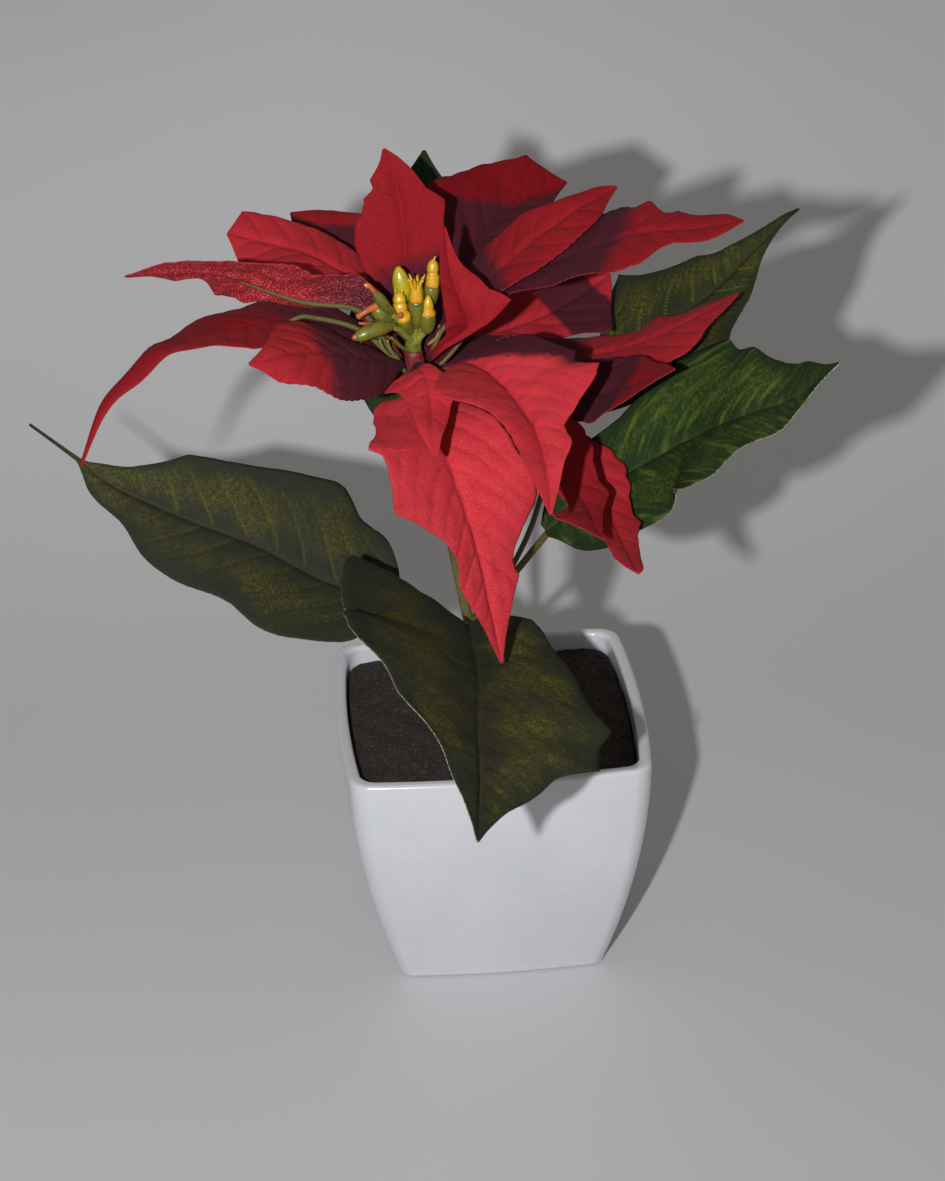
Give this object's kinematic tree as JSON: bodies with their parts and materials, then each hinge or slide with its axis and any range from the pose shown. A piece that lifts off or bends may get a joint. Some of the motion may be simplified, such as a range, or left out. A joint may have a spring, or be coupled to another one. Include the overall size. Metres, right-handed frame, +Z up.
{
  "type": "poinsettia",
  "caption": "Artificial poinsettia: red cloth bracts round a yellow-green centre, dark green leaves on a thin stem, standing in a small white glazed pot of dark soil",
  "frame": {"origin": "the middle of the pot's flat bottom", "axes": "+Z up; the pot's sides lie along X and Y; the large front leaf points towards -Y"},
  "size_m": [0.2116, 0.2024, 0.2312],
  "materials": {
    "pot": "gloss",
    "soil": "matte",
    "stem": "satin",
    "leaf": "matte",
    "bract": "matte",
    "cyathia": "gloss"
  },
  "bodies": {
    "root": {"pot": "pot", "soil": "soil", "stem": "stem", "leaf_left": "leaf", "leaf_front": "leaf", "leaf_right": "leaf", "leaf_upper_right": "leaf", "leaf_back": "leaf", "bract_upper_1": "bract", "bract_upper_2": "bract", "bract_upper_3": "bract", "bract_upper_4": "bract", "bract_upper_5": "bract", "bract_upper_6": "bract", "bract_middle_1": "bract", "bract_middle_2": "bract", "bract_middle_3": "bract", "bract_middle_4": "bract", "bract_middle_5": "bract", "bract_lower_1": "bract", "bract_lower_2": "bract", "bract_lower_3": "bract", "bract_lower_4": "bract", "bract_lower_5": "bract", "bract_lower_6": "bract", "bract_lower_7": "bract", "cyathia": "cyathia"}
  },
  "joints": []
}
